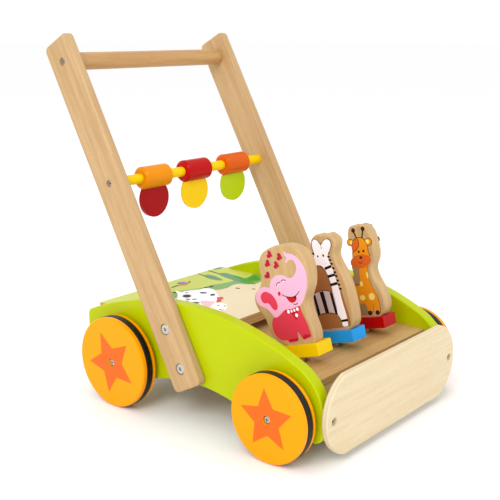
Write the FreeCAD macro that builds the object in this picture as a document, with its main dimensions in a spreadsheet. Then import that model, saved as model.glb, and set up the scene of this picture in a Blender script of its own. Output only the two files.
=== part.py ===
"""Wooden baby walker: two side panels on four wheels, leaning posts with a push handle,
three turning rollers, a picture board, a bumper and three animals that bob on cams.

Millimetres.  The walker rolls towards -Y, +Z is up, and +X is the child's left.
The origin is on the floor, under the middle of the whole walker.
"""
import FreeCAD, Part
import math
import os
import Sketcher

V = FreeCAD.Vector
X_AXIS = V(1, 0, 0)
Y_AXIS = V(0, 1, 0)
Z_AXIS = V(0, 0, 1)
NO_TURN = FreeCAD.Rotation()
ALONG_X = FreeCAD.Rotation(Y_AXIS, 90)
SIDES = {"right": -1, "left": 1}

doc = FreeCAD.newDocument("baby_walker")

# ---------------------------------------------------------------- driving dimensions
DIMENSIONS = [
    ("innerWidth", 236.0, "clear width between the side panels"),
    ("panelThickness", 16.0, "side panel, plywood"),
    ("panelFrontY", -203.3, "front end of a side panel"),
    ("panelRearY", 166.6, "rear end of a side panel"),
    ("crownY", -10.4, "highest place of a side panel"),
    ("crownZ", 143.0, "height of the side panel there"),
    ("frontCurve", 365.0, "radius of the top edge in front of the crown"),
    ("rearCurve", 420.0, "radius of the top edge behind the crown"),
    ("noseCurve", 60.0, "radius of the rounded front end"),
    ("panelBottomZ", 26.0, "underside of the side panel"),
    ("archY", -20.4, "middle of the arch between the wheels"),
    ("archTopZ", 49.5, "top of that arch"),
    ("archCurve", 221.0, "radius of that arch"),
    ("frontCorner", 14.0, "lower front corner radius"),
    ("rearCorner", 22.0, "lower rear corner radius"),
    ("panelCorner", 8.0, "softened corners at the arch's ends and the rear top"),
    ("panelEdge", 2.0, "rounding of the panel edges"),
    ("frontAxleY", -148.7, "front axle"),
    ("rearAxleY", 94.1, "rear axle"),
    ("frontWheelRadius", 50.0, "wooden part of a front wheel"),
    ("rearWheelRadius", 56.2, "wooden part of a rear wheel"),
    ("tyreProud", 0.5, "how far a rubber ring stands out of its wheel"),
    ("wheelOuterX", 162.0, "outer face of a wheel"),
    ("wheelWidth", 22.0, "whole width of a wheel"),
    ("grooveOffset", 6.5, "outer face of the wheel to the ring's groove"),
    ("grooveWidth", 10.0, "ring groove"),
    ("grooveDepth", 5.0, "ring groove"),
    ("wheelEdge", 2.5, "rounding of the wheel's rims"),
    ("axleDiameter", 12.0, "wooden axle"),
    ("axleInWheel", 12.0, "how deep the axle sits in a wheel"),
    ("bushDiameter", 16.0, "nylon bush in the side panel"),
    ("bushFlange", 21.0, "flange diameter of the bush"),
    ("bushFlangeThick", 2.0, "flange of the bush"),
    ("runningGap", 0.06, "radial clearance of a running fit"),
    ("endGap", 0.3, "side clearance of a turning piece"),
    ("postWidth", 46.0, "handle post"),
    ("postThickness", 12.0, "handle post"),
    ("postLength", 448.0, "handle post"),
    ("postLean", 28.36, "degrees from upright"),
    ("postFootY", -19.2, "middle of the post's lower end"),
    ("postFootZ", 46.2, "middle of the post's lower end"),
    ("postCorner", 7.0, "rounded corners at the post's ends"),
    ("postEdge", 2.5, "rounded long edges of the post"),
    ("boltLow", 25.3, "lower bolt, along the post"),
    ("boltHigh", 74.7, "upper bolt, along the post"),
    ("rodStation", 260.2, "roller rod, along the post"),
    ("handleStation", 419.6, "handle, along the post"),
    ("handleDiameter", 21.5, "push handle dowel"),
    ("rodDiameter", 12.6, "roller rod dowel"),
    ("socketDepth", 4.0, "blind socket of a dowel in a post"),
    ("rollerDiameter", 28.0, "turning roller"),
    ("rollerLength", 46.0, "turning roller"),
    ("rollerChamfer", 3.0, "roller ends"),
    ("discDiameter", 47.0, "disc held in a roller"),
    ("discThickness", 5.0, "disc held in a roller"),
    ("discDrop", 27.5, "disc centre below the roller's axis"),
    ("discCut", 9.0, "flat top of the disc below the roller's axis"),
    ("boardTopZ", 111.0, "picture board"),
    ("boardFrontY", -23.4, "picture board"),
    ("boardRearY", 161.6, "picture board"),
    ("boardThickness", 12.0, "picture board"),
    ("deckTopZ", 86.5, "front deck"),
    ("deckFrontY", -179.2, "front deck"),
    ("deckRearY", 20.0, "front deck"),
    ("deckThickness", 10.0, "front deck"),
    ("slotWidth", 11.0, "slot in the deck for a riser"),
    ("slotFrontY", -133.4, "front end of that slot"),
    ("slotLength", 16.0, "slot in the deck for a riser"),
    ("crossFrontThick", 6.0, "cross panel under the deck's front edge"),
    ("crossFrontBottomZ", 32.0, "cross panel under the deck's front edge"),
    ("crossRearY", 141.6, "rear cross panel, its front face"),
    ("crossRearThick", 14.0, "rear cross panel"),
    ("crossRearBottomZ", 52.0, "rear cross panel"),
    ("bumperThickness", 8.0, "bumper plate"),
    ("bumperWidth", 278.0, "bumper plate"),
    ("bumperBottomZ", 9.0, "bumper plate"),
    ("bumperTopZ", 101.0, "bumper plate"),
    ("bumperEnd", 48.0, "radius of the bumper's rounded ends"),
    ("bumperCorner", 6.0, "softened corner between edge and end"),
    ("bumperScrewX", 126.0, "bumper screws, into the panel ends"),
    ("bumperScrewZ", 54.2, "bumper screws"),
    ("animalSpacing", 68.0, "from one animal to the next"),
    ("baseWidth", 27.5, "base block of an animal"),
    ("baseLength", 53.0, "base block of an animal"),
    ("baseHeight", 14.0, "base block of an animal"),
    ("baseFrontY", -159.7, "lower front edge of a base block"),
    ("baseFrontZ", 100.9, "lower front edge of a base block"),
    ("baseLean", 15.5, "degrees that a base block tips back"),
    ("figureThickness", 18.0, "animal figure"),
    ("figureEdge", 2.2, "rounding of a figure's edges"),
    ("leverWidth", 12.0, "level lever under the deck"),
    ("leverHeight", 7.0, "level lever under the deck"),
    ("leverBottomZ", 68.0, "underside of a lever"),
    ("leverFrontY", -154.0, "front end of a lever"),
    ("leverRearY", -103.0, "rear end of a lever"),
    ("pivotY", -110.0, "steel pivot rod of the levers"),
    ("pivotDiameter", 4.0, "steel pivot rod of the levers"),
    ("riserDiameter", 9.0, "dowel from a lever up into its base block"),
    ("riserBack", 38.0, "riser behind the block's front edge"),
    ("riserBelow", 20.5, "riser below the block"),
    ("riserInBlock", 10.0, "riser inside the block"),
    ("followerDiameter", 6.0, "cam follower pin, half sunk into the lever"),
    ("camThickness", 9.0, "cam on the front axle"),
    ("camBase", 7.7, "radius of the cam's round part"),
    ("camNoseReach", 9.7, "centre of the cam's nose from the axle"),
    ("camNose", 4.0, "radius of the cam's nose"),
    ("dowelDiameter", 8.0, "wooden joining dowels"),
    ("dowelDepth", 11.0, "dowel in each of its two pieces"),
    ("pinDiameter", 6.0, "dowels between a base block and its figure"),
    ("screwRecess", 2.4, "countersunk screw heads, sunk below the surface"),
    ("hubRecess", 4.0, "hub screw heads, sunk into the wheels"),
    ("boltRecess", 2.4, "post bolt heads, sunk into the posts"),
    ("recessGap", 0.5, "round a sunk screw head"),
]
ROLLERS = {"first": -72.0, "second": 2.0, "third": 79.0}
ANIMALS = {"elephant": -1, "zebra": 0, "giraffe": 1}
BOB = {"elephant": 1.5, "zebra": -0.5, "giraffe": -1.0}
CAM_ANGLES = {"elephant": 45.0, "zebra": 135.0, "giraffe": 225.0}

sheet = doc.addObject("Spreadsheet::Sheet", "Sheet")
for row, (alias, value, meaning) in enumerate(DIMENSIONS, start=1):
    sheet.set(f"A{row}", alias)
    sheet.set(f"B{row}", str(value))
    sheet.set(f"C{row}", meaning)
    sheet.setAlias(f"B{row}", alias)
doc.recompute()


def size(alias):
    """The value of one driving dimension."""
    return float(getattr(sheet, alias))


PANEL_OUT = size("innerWidth") / 2 + size("panelThickness")
POST_OUT = PANEL_OUT + size("postThickness")
FRONT_AXLE = (size("frontAxleY"), size("frontWheelRadius") + size("tyreProud"))
REAR_AXLE = (size("rearAxleY"), size("rearWheelRadius") + size("tyreProud"))
LEAN = math.radians(size("postLean"))
TIP = math.radians(size("baseLean"))


def on_post(station, across=0.0):
    """Y and Z of a place on a post: along it from its foot, and across towards the rear."""
    along_y = math.sin(LEAN) * station + math.cos(LEAN) * across
    along_z = math.cos(LEAN) * station - math.sin(LEAN) * across
    return size("postFootY") + along_y, size("postFootZ") + along_z


def on_block(back, up):
    """Y and Z of a place on a tipped base block: back from its lower front edge, and up."""
    tip_y = math.cos(TIP) * back + math.sin(TIP) * up
    tip_z = math.cos(TIP) * up - math.sin(TIP) * back
    return size("baseFrontY") + tip_y, size("baseFrontZ") + tip_z


HANDLE = on_post(size("handleStation"))
ROD = on_post(size("rodStation"))
PIVOT = (size("pivotY"), size("leverBottomZ") + size("leverHeight") / 2)
PARTS = {}


# ---------------------------------------------------------------- building helpers
def keep(node, feature):
    """Names a finished sub-part."""
    feature.Label = node
    PARTS[node] = feature
    return feature


def bind(feature, **cells):
    """Binds properties of a feature to the sheet."""
    for name, formula in cells.items():
        feature.setExpression(name.replace("__", "."), formula)
    return feature


def primitive(kind, name, base, turn=NO_TURN, **cells):
    """One Part primitive, placed and bound to the sheet."""
    feature = doc.addObject("Part::" + kind, name)
    feature.Placement = FreeCAD.Placement(V(*base), turn)
    return bind(feature, **cells)


def fixed(name, shape):
    """A shape worked out by Part's own functions."""
    feature = doc.addObject("Part::Feature", name)
    feature.Shape = shape
    return feature


def cut(name, base, tools):
    """The base less all of its tools."""
    group = doc.addObject("Part::Compound", name + "_tools")
    group.Links = tools
    feature = doc.addObject("Part::Cut", name + "_cut")
    feature.Base = base
    feature.Tool = group
    return feature


def rod_x(radius, start_x, end_x, place):
    """A round bar along X, as a shape."""
    return Part.makeCylinder(radius, end_x - start_x, V(start_x, *place), X_AXIS)


def screw(head_radius, head_depth, shank_radius, length, as_hole=False):
    """A countersunk screw along -Z, its head sunk below the origin, or the hole it sits in."""
    face = -size("screwRecess")
    head = Part.makeCone(shank_radius, head_radius, head_depth, V(0, 0, face - head_depth))
    shank = Part.makeCylinder(shank_radius, length - head_depth, V(0, 0, face - length))
    whole = head.fuse(shank).removeSplitter()
    if as_hole:
        return whole.fuse(Part.makeCylinder(head_radius + size("recessGap"), -face, V(0, 0, face)))
    arm, wide, deep = head_radius * 1.1, head_radius * 0.28, head_depth * 0.6
    slots = [
        Part.makeBox(arm, wide, deep, V(-arm / 2, -wide / 2, face - deep)),
        Part.makeBox(wide, arm, deep, V(-wide / 2, -arm / 2, face - deep)),
    ]
    return whole.cut(slots[0].fuse(slots[1]))


def facing(shape, place, direction):
    """Turns a shape's +Z to a direction and moves its origin to a place."""
    turned = shape.copy()
    turned.Placement = FreeCAD.Placement(V(*place), FreeCAD.Rotation(Z_AXIS, V(*direction)))
    return turned


def plate_body(name, outline, thickness_cell, plane="YZ_Plane"):
    """A PartDesign plate: a closed outline of lines and arcs, padded to its thickness."""
    body = doc.addObject("PartDesign::Body", name)
    origin_plane = next(item for item in body.Origin.OriginFeatures if item.Role == plane)
    sketch = body.newObject("Sketcher::SketchObject", name + "_outline")
    sketch.AttachmentSupport = [(origin_plane, "")]
    sketch.MapMode = "FlatFace"
    sketch.addGeometry(outline, False)
    sketch.addConstraint([Sketcher.Constraint("Block", i) for i in range(len(outline))])
    pad = body.newObject("PartDesign::Pad", name + "_pad")
    pad.Profile = sketch
    bind(pad, Length=thickness_cell)
    doc.recompute()
    return body, pad


def arc_of(centre, radius, start, middle, end):
    """An arc about a centre through three directions, in degrees."""
    return Part.Arc(*(centre + radius * V(math.cos(math.radians(a)), math.sin(math.radians(a)))
                      for a in (start, middle, end)))


def arc_to(centre, start, end, clockwise=False):
    """The arc about a centre from one point to another."""
    from_angle = math.degrees(math.atan2(start.y - centre.y, start.x - centre.x))
    to_angle = math.degrees(math.atan2(end.y - centre.y, end.x - centre.x))
    sweep = (to_angle - from_angle) % 360
    if clockwise:
        sweep -= 360
    return arc_of(centre, (start - centre).Length, from_angle, from_angle + sweep / 2, from_angle + sweep)


def line(start, end):
    """A straight piece of an outline."""
    return Part.LineSegment(start, end)


def round_edges(body, pad, name, radius_cell, chosen):
    """Rounds the chosen edges of a PartDesign body's last feature."""
    names = [f"Edge{i}" for i, edge in enumerate(pad.Shape.Edges, start=1) if chosen(edge)]
    fillet = body.newObject("PartDesign::Fillet", name)
    fillet.Base = (pad, names)
    bind(fillet, Radius=radius_cell)
    doc.recompute()
    return fillet


def on_faces(axis):
    """Chooses the edges that lie in the two flat faces across an axis."""
    return lambda edge: getattr(edge.BoundBox, axis + "Length") < 1e-4


def ring(name, place, start_x, outer, inner, length):
    """A tube along X; its three sizes are sheet formulas."""
    base = (start_x, *place)
    outside = primitive("Cylinder", name + "_outside", base, ALONG_X, Radius=outer, Height=length)
    inside = primitive("Cylinder", name + "_inside", base, ALONG_X, Radius=inner, Height=length)
    return cut(name, outside, [inside])


def hole(name, place, start_x, radius, length):
    """A round cutting tool along X; its two sizes are sheet formulas."""
    return primitive("Cylinder", name, (start_x, *place), ALONG_X, Radius=radius, Height=length)


def group(node, shapes):
    """Several separate solids in one node."""
    return keep(node, fixed(node, Part.makeCompound(shapes)))


# ---------------------------------------------------------------- screws and other hardware
def pan_screw(head_radius, head_height, shank_radius, length):
    """A pan-head cross-slot screw along -Z, its head above the origin."""
    head = Part.makeCylinder(head_radius, head_height)
    head = head.makeFillet(head_height * 0.7, [head.Edges[0]])
    shank = Part.makeCylinder(shank_radius, length, V(0, 0, -length))
    arm, wide, deep = head_radius * 1.1, head_radius * 0.26, head_height * 0.7
    bottom = head_height - deep
    slots = Part.makeBox(arm, wide, deep, V(-arm / 2, -wide / 2, bottom))
    slots = slots.fuse(Part.makeBox(wide, arm, deep, V(-wide / 2, -arm / 2, bottom)))
    return head.fuse(shank).cut(slots)


def connector_bolt(head_radius, head_height, shank_radius, length, key):
    """A flat-headed hex-socket bolt along -Z, its head above the origin."""
    head = Part.makeCylinder(head_radius, head_height)
    head = head.makeFillet(head_height * 0.6, [head.Edges[0]])
    shank = Part.makeCylinder(shank_radius, length, V(0, 0, -length))
    corners = [V(key / math.sqrt(3) * math.cos(math.radians(60 * i)),
                 key / math.sqrt(3) * math.sin(math.radians(60 * i)), head_height - 3.0)
               for i in range(7)]
    socket = Part.Face(Part.makePolygon(corners)).extrude(V(0, 0, 4.0))
    return head.fuse(shank).cut(socket)


HANDLE_SCREW = (4.6, 3.4, 2.0, 40.0)
ROD_SCREW = (4.0, 3.0, 1.7, 34.0)
BUMPER_SCREW = (4.2, 3.0, 1.9, 34.0)
HUB_SCREW = (4.6, 2.8, 2.0, 30.0)
POST_BOLT = (6.4, 1.8, 3.0, 22.0, 4.0)
INSERT_RADIUS, INSERT_LENGTH = 4.5, 14.0

BOLT_SEAT = POST_OUT - size("boltRecess")
BOLT_PLACES = [on_post(size("boltLow")), on_post(size("boltHigh"))]
BUMPER_FRONT = size("panelFrontY") - size("bumperThickness")

DOWEL_PLACES = [
    (size("boardFrontY") + 19, size("boardTopZ") - size("boardThickness") / 2),
    ((size("boardFrontY") + size("boardRearY")) / 2, size("boardTopZ") - size("boardThickness") / 2),
    (size("boardRearY") - 21, size("boardTopZ") - size("boardThickness") / 2),
    (size("deckFrontY") + 11, size("deckTopZ") - size("deckThickness") / 2),
    (size("deckRearY") - 15, size("deckTopZ") - size("deckThickness") / 2),
    (size("crossRearY") + size("crossRearThick") / 2, size("crossRearBottomZ") + 10),
    (size("crossRearY") + size("crossRearThick") / 2, size("crossRearBottomZ") + 36),
]
DOWEL_START = size("innerWidth") / 2 - size("dowelDepth")


def dowel_tools(name, places):
    """Cutting tools for the joining dowels at both sides of the walker."""
    tools = []
    for place in places:
        for side in SIDES.values():
            start = DOWEL_START if side > 0 else -DOWEL_START - 2 * size("dowelDepth")
            tools.append(hole(name, place, start, "Sheet.dowelDiameter / 2", "Sheet.dowelDepth * 2"))
    return tools


# ---------------------------------------------------------------- side panels
def half_arch():
    """Half the width of the arch at the panel's underside."""
    rise = size("archTopZ") - size("panelBottomZ")
    return math.sqrt(size("archCurve") ** 2 - (size("archCurve") - rise) ** 2)


def panel_outline():
    """The side of the walker: a long low hill with a rounded nose and an arch below."""
    front, rear, low = size("panelFrontY"), size("panelRearY"), size("panelBottomZ")
    crown = V(size("crownY"), size("crownZ"))
    rear_centre = crown - V(0, size("rearCurve"))
    front_centre = crown - V(0, size("frontCurve"))
    reach = size("frontCurve") - size("noseCurve")
    nose_y = front + size("noseCurve")
    nose_centre = V(nose_y, front_centre.y + math.sqrt(reach ** 2 - (crown.x - nose_y) ** 2))
    tangent = front_centre + (nose_centre - front_centre) * (size("frontCurve") / reach)
    nose_tip = V(front, nose_centre.y)
    rear_top = V(rear, rear_centre.y + math.sqrt(size("rearCurve") ** 2 - (rear - crown.x) ** 2))
    arch_centre = V(size("archY"), size("archTopZ") - size("archCurve"))
    arch_front = V(arch_centre.x - half_arch(), low)
    arch_rear = V(arch_centre.x + half_arch(), low)
    toe_centre = V(front + size("frontCorner"), low + size("frontCorner"))
    toe_low, toe_front = V(toe_centre.x, low), V(front, toe_centre.y)
    heel_centre = V(rear - size("rearCorner"), low + size("rearCorner"))
    heel_low, heel_rear = V(heel_centre.x, low), V(rear, heel_centre.y)
    return [
        line(toe_low, arch_front),
        arc_to(arch_centre, arch_front, arch_rear, clockwise=True),
        line(arch_rear, heel_low),
        arc_to(heel_centre, heel_low, heel_rear),
        line(heel_rear, rear_top),
        arc_to(rear_centre, rear_top, crown),
        arc_to(front_centre, crown, tangent),
        arc_to(nose_centre, tangent, nose_tip),
        line(nose_tip, toe_front),
        arc_to(toe_centre, toe_front, toe_low),
    ]


def sharp_corner(edge):
    """Chooses the corners across a side panel at the arch's two ends and at the rear top."""
    spot = edge.Vertexes[0].Point
    at_arch = abs(abs(spot.y - size("archY")) - half_arch()) < 0.01
    at_rear = abs(spot.y - size("panelRearY")) < 0.01 and spot.z > size("boardTopZ") - 20
    return edge.BoundBox.XLength > 1 and (at_arch or at_rear)


for side_name, side in SIDES.items():
    node = side_name + "_side_panel"
    body, pad = plate_body(node + "_body", panel_outline(), "Sheet.panelThickness")
    inner = size("innerWidth") / 2
    body.Placement.Base = V(inner if side > 0 else -PANEL_OUT, 0, 0)
    corners = round_edges(body, pad, node + "_corners", "Sheet.panelCorner", sharp_corner)
    round_edges(body, corners, node + "_edges", "Sheet.panelEdge", on_faces("X"))
    start = inner if side > 0 else -PANEL_OUT
    tools = [hole("bush_hole", axle, start, "Sheet.bushDiameter / 2", "Sheet.panelThickness")
             for axle in (FRONT_AXLE, REAR_AXLE)]
    tools += dowel_tools("panel_dowel", DOWEL_PLACES)
    tools.append(hole("pivot_hole", PIVOT, -inner - 8, "Sheet.pivotDiameter / 2", "Sheet.innerWidth + 16"))
    for place in BOLT_PLACES:
        x = PANEL_OUT - INSERT_LENGTH if side > 0 else -PANEL_OUT
        tools.append(fixed("insert_hole", rod_x(INSERT_RADIUS, x, x + INSERT_LENGTH, place)))
    shape = screw(*BUMPER_SCREW, as_hole=True)
    place = (side * size("bumperScrewX"), BUMPER_FRONT, size("bumperScrewZ"))
    tools.append(fixed("panel_bumper_screw", facing(shape, place, (0, -1, 0))))
    tools.append(primitive("Box", "cross_housing",
                           (side * inner - 4, size("deckFrontY"), size("crossFrontBottomZ")),
                           Length="8 mm", Width="Sheet.crossFrontThick",
                           Height="Sheet.deckTopZ - Sheet.deckThickness - Sheet.crossFrontBottomZ"))
    keep(node, cut(node, body, tools))

# ---------------------------------------------------------------- posts, handle and roller rod
def post_outline():
    """A post seen from the side: a long strip with rounded corners."""
    half, length, corner = size("postWidth") / 2, size("postLength"), size("postCorner")
    pieces = []
    corners = [(half, 0, -90), (half, length, 0), (-half, length, 90), (-half, 0, 180)]
    ends = []
    for y, z, start in corners:
        centre = V(y - math.copysign(corner, y), z + (corner if z == 0 else -corner))
        arc = arc_of(centre, corner, start, start + 45, start + 90)
        ends.append((arc.StartPoint, arc.EndPoint))
        pieces.append(arc)
    for i in range(4):
        pieces.insert(2 * i + 1, line(ends[i][1], ends[(i + 1) % 4][0]))
    return pieces


LEANING = FreeCAD.Rotation(X_AXIS, -size("postLean"))
for side_name, side in SIDES.items():
    node = side_name + "_post"
    body, pad = plate_body(node + "_body", post_outline(), "Sheet.postThickness")
    start = PANEL_OUT if side > 0 else -POST_OUT
    body.Placement = FreeCAD.Placement(V(start, size("postFootY"), size("postFootZ")), LEANING)
    round_edges(body, pad, node + "_edges", "Sheet.postEdge", on_faces("X"))
    socket_x = start if side > 0 else -PANEL_OUT - size("socketDepth")
    tools = [
        hole("handle_socket", HANDLE, socket_x, "Sheet.handleDiameter / 2", "Sheet.socketDepth"),
        hole("rod_socket", ROD, socket_x, "Sheet.rodDiameter / 2", "Sheet.socketDepth"),
    ]
    for shape, place in ((HANDLE_SCREW, HANDLE), (ROD_SCREW, ROD)):
        solid = facing(screw(*shape, as_hole=True), (side * POST_OUT, *place), (side, 0, 0))
        tools.append(fixed("post_screw", solid))
    for place in BOLT_PLACES:
        tools.append(fixed("bolt_hole", rod_x(POST_BOLT[2], start, start + size("postThickness"), place)))
        well = Part.makeCylinder(POST_BOLT[0] + size("recessGap"), size("boltRecess"))
        tools.append(fixed("bolt_well", facing(well, (side * BOLT_SEAT, *place), (side, 0, 0))))
    keep(node, cut(node, body, tools))

SOCKET_X = PANEL_OUT + size("socketDepth")
for node, place, cell, shape in (
    ("push_handle", HANDLE, "Sheet.handleDiameter / 2", HANDLE_SCREW),
    ("roller_rod", ROD, "Sheet.rodDiameter / 2", ROD_SCREW),
):
    whole = hole(node + "_dowel", place, -SOCKET_X, cell,
                 "Sheet.innerWidth + 2 * Sheet.panelThickness + 2 * Sheet.socketDepth")
    screw_hole = screw(*shape, as_hole=True)
    tools = [fixed(node + "_screw", facing(screw_hole, (side * POST_OUT, *place), (side, 0, 0)))
             for side in SIDES.values()]
    keep(node, cut(node, whole, tools))

group("handle_screws", [facing(screw(*HANDLE_SCREW), (side * POST_OUT, *HANDLE), (side, 0, 0))
                        for side in SIDES.values()])
group("rod_screws", [facing(screw(*ROD_SCREW), (side * POST_OUT, *ROD), (side, 0, 0))
                     for side in SIDES.values()])
group("post_bolts", [facing(connector_bolt(*POST_BOLT), (side * BOLT_SEAT, *place), (side, 0, 0))
                     for side in SIDES.values() for place in BOLT_PLACES])
inserts = []
for place in BOLT_PLACES:
    for side in SIDES.values():
        start = PANEL_OUT - INSERT_LENGTH if side > 0 else -PANEL_OUT
        tube = rod_x(INSERT_RADIUS, start, start + INSERT_LENGTH, place)
        inserts.append(tube.cut(rod_x(POST_BOLT[2], start, start + INSERT_LENGTH, place)))
group("threaded_inserts", inserts)

# ---------------------------------------------------------------- boards between the side panels
board = primitive("Box", "board_slab", (-size("innerWidth") / 2, size("boardFrontY"),
                                        size("boardTopZ") - size("boardThickness")),
                  Length="Sheet.innerWidth", Width="Sheet.boardRearY - Sheet.boardFrontY",
                  Height="Sheet.boardThickness")
keep("picture_board", cut("picture_board", board, dowel_tools("board_dowel", DOWEL_PLACES[:3])))

deck = primitive("Box", "deck_slab", (-size("innerWidth") / 2, size("deckFrontY"),
                                      size("deckTopZ") - size("deckThickness")),
                 Length="Sheet.innerWidth", Width="Sheet.deckRearY - Sheet.deckFrontY",
                 Height="Sheet.deckThickness")
slots = [primitive("Box", "riser_slot", (at * size("animalSpacing") - size("slotWidth") / 2,
                                         size("slotFrontY"), size("deckTopZ") - size("deckThickness")),
                   Length="Sheet.slotWidth", Width="Sheet.slotLength", Height="Sheet.deckThickness")
         for at in ANIMALS.values()]
keep("front_deck", cut("front_deck", deck, slots + dowel_tools("deck_dowel", DOWEL_PLACES[3:5])))

keep("front_cross_panel",
     primitive("Box", "front_cross_panel", (-size("innerWidth") / 2 - 4, size("deckFrontY"),
                                            size("crossFrontBottomZ")),
               Length="Sheet.innerWidth + 8", Width="Sheet.crossFrontThick",
               Height="Sheet.deckTopZ - Sheet.deckThickness - Sheet.crossFrontBottomZ"))
cross = primitive("Box", "rear_cross_slab", (-size("innerWidth") / 2, size("crossRearY"),
                                             size("crossRearBottomZ")),
                  Length="Sheet.innerWidth", Width="Sheet.crossRearThick",
                  Height="Sheet.boardTopZ - Sheet.boardThickness - Sheet.crossRearBottomZ")
keep("rear_cross_panel", cut("rear_cross_panel", cross, dowel_tools("cross_dowel", DOWEL_PLACES[5:])))
group("joining_dowels", [rod_x(size("dowelDiameter") / 2, x, x + 2 * size("dowelDepth"), place)
                         for place in DOWEL_PLACES
                         for x in (DOWEL_START, -DOWEL_START - 2 * size("dowelDepth"))])


# ---------------------------------------------------------------- bumper
def bumper_outline():
    """The bumper from the front: a wide plate with bowed ends."""
    half_height = (size("bumperTopZ") - size("bumperBottomZ")) / 2
    middle = size("bumperBottomZ") + half_height
    centre_x = size("bumperWidth") / 2 - size("bumperEnd")
    flat = centre_x + math.sqrt(size("bumperEnd") ** 2 - half_height ** 2)
    low, high = size("bumperBottomZ"), size("bumperTopZ")
    return [
        line(V(-flat, low), V(flat, low)),
        arc_to(V(centre_x, middle), V(flat, low), V(flat, high)),
        line(V(flat, high), V(-flat, high)),
        arc_to(V(-centre_x, middle), V(-flat, high), V(-flat, low)),
    ]


body, pad = plate_body("bumper_body", bumper_outline(), "Sheet.bumperThickness", "XZ_Plane")
body.Placement.Base = V(0, size("panelFrontY"), 0)
corners = round_edges(body, pad, "bumper_corners", "Sheet.bumperCorner",
                      lambda edge: edge.BoundBox.YLength > 1 and edge.BoundBox.XLength < 1e-4)
round_edges(body, corners, "bumper_edges", "Sheet.panelEdge", on_faces("Y"))
bumper_screws = [(side * size("bumperScrewX"), BUMPER_FRONT, size("bumperScrewZ"))
                 for side in SIDES.values()]
tools = [fixed("bumper_hole", facing(screw(*BUMPER_SCREW, as_hole=True), place, (0, -1, 0)))
         for place in bumper_screws]
keep("bumper_plate", cut("bumper_plate", body, tools))
group("bumper_screws", [facing(screw(*BUMPER_SCREW), place, (0, -1, 0)) for place in bumper_screws])

# ---------------------------------------------------------------- axles and wheels
bushes = []
for axle in (FRONT_AXLE, REAR_AXLE):
    for side in SIDES.values():
        inner, outer = side * size("innerWidth") / 2, side * PANEL_OUT
        flange = outer + side * size("bushFlangeThick")
        sleeve = rod_x(size("bushDiameter") / 2, min(inner, outer), max(inner, outer), axle)
        collar = rod_x(size("bushFlange") / 2, min(outer, flange), max(outer, flange), axle)
        bore = rod_x(size("axleDiameter") / 2 + size("runningGap"), min(inner, flange),
                     max(inner, flange), axle)
        bushes.append(sleeve.fuse(collar).removeSplitter().cut(bore))
group("axle_bushes", bushes)

WHEEL_IN = size("wheelOuterX") - size("wheelWidth")
AXLE_END = WHEEL_IN + size("axleInWheel")
for pair, axle, radius in (("front", FRONT_AXLE, "Sheet.frontWheelRadius"),
                           ("rear", REAR_AXLE, "Sheet.rearWheelRadius")):
    hub_places = [((side * (size("wheelOuterX") - size("hubRecess")), *axle), (side, 0, 0))
                  for side in SIDES.values()]
    shanks = [facing(Part.makeCylinder(HUB_SCREW[2], HUB_SCREW[3], V(0, 0, -HUB_SCREW[3])), *where)
              for where in hub_places]
    wells = [facing(Part.makeCylinder(HUB_SCREW[0] + size("recessGap"), size("hubRecess")), *where)
             for where in hub_places]
    bar = hole(pair + "_axle_dowel", axle, -AXLE_END, "Sheet.axleDiameter / 2",
               "(Sheet.wheelOuterX - Sheet.wheelWidth + Sheet.axleInWheel) * 2")
    keep(pair + "_axle", cut(pair + "_axle", bar, [fixed(pair + "_axle_pilot", s) for s in shanks]))
    group(pair + "_hub_screws", [facing(pan_screw(*HUB_SCREW), *where) for where in hub_places])
    gap = PANEL_OUT + size("bushFlangeThick") + size("endGap")
    spacers = []
    for start, end in ((gap, WHEEL_IN), (-WHEEL_IN, -gap)):
        tube = rod_x(size("bushFlange") / 2, start, end, axle)
        spacers.append(tube.cut(rod_x(size("axleDiameter") / 2, start, end, axle)))
    group(pair + "_axle_spacers", spacers)
    for (side_name, side), shank, well in zip(SIDES.items(), shanks, wells):
        node = f"{pair}_{side_name}"
        start = WHEEL_IN if side > 0 else -size("wheelOuterX")
        groove = (size("wheelOuterX") - size("grooveOffset") - size("grooveWidth") if side > 0
                  else size("grooveOffset") - size("wheelOuterX"))
        disc = hole(node + "_disc", axle, start, radius, "Sheet.wheelWidth")
        doc.recompute()
        rims = doc.addObject("Part::Fillet", node + "_rims")
        rims.Base = disc
        rims.Edges = [(i, size("wheelEdge"), size("wheelEdge"))
                      for i, edge in enumerate(disc.Shape.Edges, start=1) if edge.Closed]
        slot = ring(node + "_slot", axle, groove, radius + " + 5",
                    radius + " - Sheet.grooveDepth", "Sheet.grooveWidth")
        seat = hole(node + "_seat", axle, WHEEL_IN if side > 0 else -AXLE_END,
                    "Sheet.axleDiameter / 2", "Sheet.axleInWheel")
        tools = [slot, seat, fixed(node + "_pilot", shank), fixed(node + "_well", well)]
        keep(node + "_wheel", cut(node + "_wheel", rims, tools))
        band = ring(node + "_band", axle, groove, radius + " + Sheet.tyreProud",
                    radius + " - Sheet.grooveDepth", "Sheet.grooveWidth")
        doc.recompute()
        tyre = doc.addObject("Part::Fillet", node + "_tyre")
        tyre.Base = band
        outside = band.Shape.BoundBox.ZLength / 2 - 1e-3
        tyre.Edges = [(i, 2.4, 2.4) for i, edge in enumerate(band.Shape.Edges, start=1)
                      if edge.Closed and edge.BoundBox.ZLength / 2 > outside]
        keep(node + "_tyre", tyre)


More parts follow.
